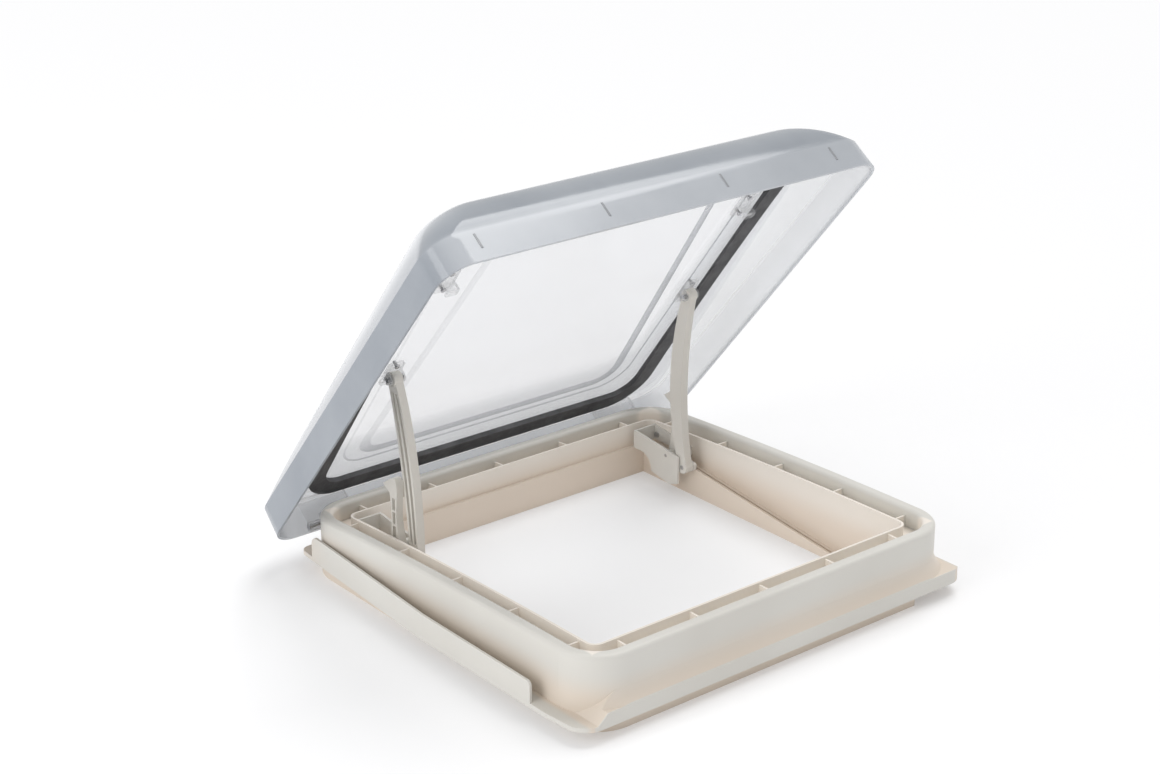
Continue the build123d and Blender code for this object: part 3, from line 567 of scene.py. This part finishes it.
def rounded_outlines(
    half_width: np.ndarray, front: np.ndarray, back: np.ndarray, corner: np.ndarray, arc: int = 20
) -> tuple[np.ndarray, np.ndarray, np.ndarray]:
    """Work out rounded rectangles as rows of points, anticlockwise from the right back corner.

    Each corner is a quarter circle about a centre one radius inside its two sides.

    Args:
        half_width: Half the width of each row's rectangle.
        front: Distance of its front side from the hinge.
        back: Distance of its back side behind the hinge.
        corner: Radius of its corners.
        arc: Points along each corner.

    Returns:
        Places across and along, one row for each rectangle, and the direction that each column faces.
    """
    facing = (np.linspace(0.0, np.pi / 2, arc)[None, :] + np.arange(4)[:, None] * np.pi / 2).ravel()
    side = np.repeat([1.0, -1.0, -1.0, 1.0], arc)
    behind = np.repeat([True, True, False, False], arc)
    radius = corner[:, None]
    across = side * (half_width[:, None] - radius) + radius * np.cos(facing)
    centre = np.where(behind, back[:, None] - radius, radius - front[:, None])
    return across, centre + radius * np.sin(facing), facing


def band_faces(rows: int, columns: int, start: int = 0, outwards: bool = True) -> list[list[int]]:
    """Join neighbouring rings of points with quads, closed round each ring.

    Args:
        rows: Number of rings.
        columns: Points in a ring.
        start: Number of the first ring's first point.
        outwards: Whether the quads face away from the rings' middle.

    Returns:
        The quads as point numbers.
    """
    row = np.arange(rows - 1)[:, None] * columns
    column = np.arange(columns)[None, :]
    beside = (column + 1) % columns
    quads = np.stack([row + column, row + beside, row + columns + beside, row + columns + column], axis=-1)
    quads = quads.reshape(-1, 4) + start
    return (quads if outwards else quads[:, ::-1]).tolist()


def make_piece(
    name: str, points: np.ndarray, faces: list[list[int]], material: bpy.types.Material,
    body: Body,
) -> bpy.types.Object:
    """Put a mesh into the scene and let it ride on a body.

    Args:
        name: The piece's name.
        points: Places in metres, one row a point.
        faces: Point numbers of each face.
        material: The piece's material.
        body: The body that carries it.

    Returns:
        The new object.
    """
    mesh = bpy.data.meshes.new(name)
    mesh.from_pydata(points.tolist(), [], faces)
    mesh.polygons.foreach_set("use_smooth", np.ones(len(mesh.polygons), dtype=bool))
    mesh.set_sharp_from_angle(angle=math.radians(CREASE_ANGLE))
    mesh.materials.append(material)
    piece = bpy.data.objects.new(name, mesh)
    bpy.context.scene.collection.objects.link(piece)
    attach(piece, body.value)
    LOG.info("%s: %d faces on %s", name, len(mesh.polygons), body.value)
    return piece


def store(piece: bpy.types.Object, name: str, values: np.ndarray) -> None:
    """Store one number for each point of a piece."""
    layer = piece.data.attributes.new(name, "FLOAT", "POINT")
    layer.data.foreach_set("value", values.astype(np.float32).ravel())


@dataclass(frozen=True)
class CarriedNodes:
    """The pieces carried over from the solids, each dressed in its slot's finish."""

    lug_endings: tuple[str, ...] = ("_lug", "_block")
    lug_tint: Color = linear(226, 227, 228)
    lug_body: float = 0.14
    lug_slant_body: float = 0.3
    # Share of the rim's painted light that the fittings get.
    fittings_painted_light_share: float = 0.15

    def dress(self, nodes: dict[str, bpy.types.Object], subparts: list[dict[str, str]]) -> None:
        """Give each node its finish; the thicker clear lugs and blocks get a milkier one.

        Args:
            nodes: The node objects by name.
            subparts: The record's rows, each with a node and its material slot.
        """
        ivory = MouldedPlastic().material()
        clear = ClearAcrylic().material()
        lugs = ClearAcrylic("lug_acrylic", self.lug_tint, self.lug_body, self.lug_slant_body).material()
        fittings = MouldedPlastic(
            "fittings_plastic", painted_hollow_light_share=self.fittings_painted_light_share, painted_foot_shade_share=0.0
        ).material()
        by_slot = {
            Slot.IVORY: ivory, Slot.FITTINGS: fittings, Slot.TINTED: clear, Slot.CLEAR: clear,
            Slot.SEAL: SealRubber().material(), Slot.STEEL: BrightSteel().material(),
        }
        for part in subparts:
            name = part["node"]
            material = lugs if name.endswith(self.lug_endings) else by_slot[Slot(part["material_slot"])]
            mesh = nodes[name].data
            mesh.materials.clear()
            mesh.materials.append(material)
            LOG.info("%s: dressed in %s", name, material.name)


@dataclass(frozen=True)
class SkinPaintedLight:
    """Painted light and shade on the dome's skin: how milky and how light it is made on each side and at each
    level.

    Levels run from -1 at the skirt's edge over 0 at its top to 1 where the ramp meets the top.
    """

    # Milkiness and tone by side are painted light and shade; the real dome is one even material.
    clear_milk: float = 0.025
    most_milk: float = 0.97
    front_milk: float = 0.95
    left_milk: float = 0.93
    right_milk: float = 0.26
    right_skirt_milk: float = 0.03
    right_edge_milk: float = 0.3
    back_milk: float = 0.2
    back_skirt_milk: float = 0.25
    # Tones from 0, dark, to 1, light: painted shade and painted light on each side.
    front_tone: float = 0.11
    front_skirt_tone: float = 0.27
    front_skirt_drift: float = 0.07
    left_tone: float = 0.09
    left_ramp_tone: float = 0.68
    right_tone: float = 0.8
    right_edge_shade: float = 0.4
    back_tone: float = 0.35
    top_tone: float = 0.9
    edge_levels: Span = (-1.0, -0.9)
    skirt_levels: Span = (0.0, 0.05)
    left_ramp_levels: Span = (0.12, 0.75)
    clearing_levels: Span = (0.5, 0.9)
    left_levels: Span = (0.75, 1.0)
    front_levels: Span = (0.9, 1.0)
    top_levels: Span = (0.97, 1.0)

    def paint(self, level: np.ndarray, facing: np.ndarray) -> tuple[np.ndarray, np.ndarray]:
        """Work out the skin's milkiness and tone, which paint in light and shade that the clear skin scatters
        and reflects.

        Painted light and shade: the front and the left side are made nearly opaque up to the rounding,
        the right side and the back stay clear. Each side counts by the square of its share in the
        direction, so the values blend round the corners. The front skirt's painted shade deepens to the
        right.

        Args:
            level: Level of each ring.
            facing: Direction of each column.

        Returns:
            Milkiness and tone, one row for each ring.
        """
        front = np.clip(-np.sin(facing), 0.0, 1.0) ** 2
        left = np.clip(-np.cos(facing), 0.0, 1.0) ** 2
        right = np.clip(np.cos(facing), 0.0, 1.0) ** 2
        back = np.clip(np.sin(facing), 0.0, 1.0) ** 2
        ring = level[:, None]
        rightness = np.repeat([1.0, -1.0, -1.0, 1.0], len(facing) // 4)
        skirt = 1.0 - smooth_step(ring, *self.skirt_levels)
        edge = 1.0 - smooth_step(ring, *self.edge_levels)
        fading = 1.0 - smooth_step(ring, *self.clearing_levels)

        front_milk = self.front_milk * (1.0 - smooth_step(ring, *self.front_levels))
        left_milk = self.left_milk * (1.0 - smooth_step(ring, *self.left_levels))
        right_milk = (self.right_milk + self.right_skirt_milk * skirt + self.right_edge_milk * edge) * fading
        back_milk = (self.back_milk + self.back_skirt_milk * skirt) * fading
        milk = self.clear_milk + front * front_milk + left * left_milk + right * right_milk + back * back_milk

        front_tone = self.front_tone + skirt * (self.front_skirt_tone - self.front_skirt_drift * rightness)
        left_tone = self.left_tone + self.left_ramp_tone * smooth_step(ring, *self.left_ramp_levels)
        right_tone = self.right_tone - self.right_edge_shade * edge
        tone = front * front_tone + left * left_tone + right * right_tone + back * self.back_tone
        top = smooth_step(ring, *self.top_levels)
        return np.clip(milk, 0.0, self.most_milk), tone * (1.0 - top) + self.top_tone * top


@dataclass(frozen=True)
class Bead:
    """A flat-topped bead along a rounded outline on the inner pane, more milky on its flanks."""

    name: str
    half_width: float
    front: float
    back: float
    corner: float
    reach: float
    height: float
    taper: float = 0.0
    middle: float = -0.2385
    clear_milk: float = 0.02
    flank_milk: float = 0.03
    right_milk: float = 0.45
    back_milk: float = 0.3
    top_share: float = 0.25
    tone: float = 0.2


@dataclass(frozen=True)
class Rib:
    """One short rib on the front skirt, with chamfered ends and a narrower outer face."""

    width: float = 0.0036
    length: float = 0.0185
    proud: float = 0.0006
    start: float = 0.34
    face_share: float = 0.5
    chamfer: float = 0.1
    milk: float = 0.85
    tone: float = 0.1

    def faces(self, count: int) -> list[list[int]]:
        """List the faces of a number of ribs, whose points are four inner and four outer corners."""
        box = np.array([[3, 2, 1, 0], [4, 5, 6, 7], [0, 1, 5, 4], [1, 2, 6, 5], [2, 3, 7, 6], [3, 0, 4, 7]])
        return (box[None] + 8 * np.arange(count)[:, None, None]).reshape(-1, 4).tolist()


@dataclass
class Dome:
    """The clear double-skinned dome: outer skin, ribs on its skirt, and beads on its inner pane."""

    hinge_y: float = 0.2331
    hinge_z: float = 0.0374
    tilt: float = 50.3
    skin: float = 0.003
    half_width: float = 0.269
    front: float = 0.4815
    back: float = 0.0105
    bottom: float = -0.0029
    skirt_corner: float = 0.033
    skirt_height: float = 0.0316
    skirt_lean: float = 0.0013
    rise: float = 0.0399
    slope: float = 1.6
    side_ramp: float = 0.0437
    side_round: float = 0.006
    front_ramp: float = 0.0056
    front_round: float = 0.0508
    back_ramp: float = 0.0334
    back_round: float = 0.0216
    top_corner: float = 0.0466
    skirt_rings: int = 7
    ramp_rings: int = 28
    pane_height: float = 0.0306
    pane_slope: float = 2.88
    pane_thickness: float = 0.003
    look: SkinPaintedLight = SkinPaintedLight()
    ridge: Bead = Bead("pane_ridge", 0.152, 0.425, -0.060, 0.026, 0.0055, 0.0018, taper=0.0934)
    step: Bead = Bead("pane_step", 0.1890, 0.440, -0.045, 0.034, 0.0014, 0.0008)
    rib: Rib = Rib()
    ribs: int = 4
    rib_pitch: float = 0.1444
    rib_shift: float = -0.006
    rib_dark: Color = linear(148, 150, 154)

    def build(self) -> None:
        """Build the skin, the beads and the ribs, and dress them."""
        skin = TintedSkin().material()
        self.build_skin(skin)
        self.build_bead(self.ridge, skin)
        self.build_bead(self.step, skin)
        self.build_ribs(TintedSkin("rib_acrylic", self.rib_dark).material())

    def place(self, across: np.ndarray, along: np.ndarray, height: np.ndarray) -> np.ndarray:
        """Turn places in the dome's plane into places in the room.

        The dome's plane passes through the hinge and is tilted about it: along points away from
        the open front, height away from the frame.

        Args:
            across: Places along the hinge.
            along: Places along the dome, negative towards its front.
            height: Heights over the dome's plane.

        Returns:
            One row of X, Y and Z for each point.
        """
        cosine, sine = math.cos(math.radians(self.tilt)), math.sin(math.radians(self.tilt))
        y = self.hinge_y + along * cosine + height * sine
        z = self.hinge_z - along * sine + height * cosine
        return np.stack([across, y, z], axis=-1).reshape(-1, 3)

    def skin_rings(self, inset: float) -> tuple[np.ndarray, np.ndarray, np.ndarray]:
        """Work out the skin's rings from the skirt's edge to the top.

        The skirt leans in evenly. Above it each ring shrinks by a ramp times the sine of a quarter
        turn and a rounding times one minus its cosine, and climbs by the rise times the sine.

        Args:
            inset: How far the surface lies inside the outer one.

        Returns:
            The points, the level of each ring from -1 over 0 at the skirt's top to 1, and the
            direction that each column faces.
        """
        skirt = np.linspace(-1.0, 0.0, self.skirt_rings)
        level = np.concatenate([skirt, np.linspace(0.0, 1.0, self.ramp_rings)[1:]])
        share = np.clip(level + 1.0, 0.0, 1.0)
        turn = np.clip(level, 0.0, 1.0) * np.pi / 2
        up, over = np.sin(turn), 1.0 - np.cos(turn)
        lean = self.skirt_lean * share + inset
        corner = self.skirt_corner + (self.top_corner - self.skirt_corner) * np.clip(level, 0.0, 1.0)
        across, along, facing = rounded_outlines(
            self.half_width - lean - self.side_ramp * up - self.side_round * over,
            self.front - lean - self.front_ramp * up - self.front_round * over,
            self.back - lean - self.back_ramp * up - self.back_round * over,
            corner - inset,
        )
        height = self.bottom + self.skirt_height * share + (self.rise - inset) * up
        lift = -along * np.tan(np.radians(self.slope) * up)[:, None]
        return self.place(across, along, height[:, None] + lift), level, facing

    def build_skin(self, material: bpy.types.Material) -> None:
        """Build the outer skin: two smooth surfaces, joined along the skirt's edge."""
        outer, level, facing = self.skin_rings(0.0)
        inner, _, _ = self.skin_rings(self.skin)
        rows, columns = len(level), len(facing)
        count = rows * columns
        faces = band_faces(rows, columns) + band_faces(rows, columns, count, outwards=False)
        ring = np.arange(columns)
        beside = (ring + 1) % columns
        faces += np.stack([ring, ring + count, beside + count, beside], axis=-1).tolist()
        top = count - columns
        faces += [(top + ring).tolist(), (top + count + ring)[::-1].tolist()]
        points = np.concatenate([outer, inner])
        skin = make_piece("dome_skin", points, faces, material, Body.DOME)
        # Painted light and shade: the skin's milkiness and tone are stored on its points.
        milk, tone = self.look.paint(level, facing)
        store(skin, "milk", np.concatenate([milk, milk]))
        store(skin, "tone", np.concatenate([tone, tone]))
        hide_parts("dome_outer_shell")

    def build_bead(self, bead: Bead, material: bpy.types.Material) -> None:
        """Build one bead round the inner pane, closed along its underside.

        Its section has four points: a foot and a shoulder on each side. The outline narrows evenly
        towards the front by the taper times the distance from its middle.

        Args:
            bead: The bead's sizes.
            material: The bead's material.
        """
        side = bead.reach * np.array([1.0, 0.5, -0.5, -1.0])
        across, along, facing = rounded_outlines(
            bead.half_width + side, bead.front + side, bead.back + side, bead.corner + side
        )
        across = across * (1.0 + bead.taper * (along - bead.middle) / bead.half_width)
        lifted = bead.height * np.array([0.0, 1.0, 1.0, 0.0])[:, None]
        height = self.pane_height + self.pane_thickness + lifted
        points = self.place(across, along, height - along * math.tan(math.radians(self.pane_slope)))
        columns = len(facing)
        ring = np.arange(columns)
        beside = (ring + 1) % columns
        last = 3 * columns
        faces = band_faces(4, columns)
        faces += np.stack([last + ring, last + beside, beside, ring], axis=-1).tolist()
        piece = make_piece(bead.name, points, faces, material, Body.DOME)
        right = np.clip(np.cos(facing), 0.0, 1.0) ** 2
        back = np.clip(np.sin(facing), 0.0, 1.0) ** 2
        flank = np.array([1.0, bead.top_share, bead.top_share, 1.0])[:, None]
        milk = bead.right_milk * right + bead.back_milk * back + bead.flank_milk
        store(piece, "milk", bead.clear_milk + flank * milk)
        store(piece, "tone", np.full((4, columns), bead.tone))

    def build_ribs(self, material: bpy.types.Material) -> None:
        """Build the short ribs on the front skirt: slim ridges that follow the skirt's lean.

        Args:
            material: The ribs' material.
        """
        rib = self.rib
        middle = (np.arange(self.ribs) - (self.ribs - 1) / 2) * self.rib_pitch + self.rib_shift
        base = self.bottom + rib.start * self.skirt_height
        half, long = rib.width / 2, rib.length
        side = np.array([-1.0, 1.0, 1.0, -1.0])
        end = np.array([0.0, 0.0, 1.0, 1.0])
        across = np.concatenate([side * half, side * half * rib.face_share])
        outer_end = base + rib.chamfer * long + end * (1.0 - 2.0 * rib.chamfer) * long
        height = np.concatenate([base + end * long, outer_end])
        out = np.concatenate([np.full(4, -self.skin / 3), np.full(4, rib.proud)])
        along = -self.front + self.skirt_lean * (height - self.bottom) / self.skirt_height - out
        points = np.concatenate([self.place(across + x, along, height) for x in middle])
        piece = make_piece("skirt_ribs", points, rib.faces(self.ribs), material, Body.DOME)
        store(piece, "milk", np.full(len(points), rib.milk))
        store(piece, "tone", np.full(len(points), rib.tone))


def main() -> None:
    """Build every class in order and report each piece."""
    logging.basicConfig(level=logging.INFO, format="%(message)s")
    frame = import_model()
    bpy.context.scene.view_settings.view_transform = "Standard"
    Studio().build()
    CarriedNodes().dress(frame["nodes"], frame["record"]["subparts"])
    Dome().build()


if __name__ == "__main__":
    main()
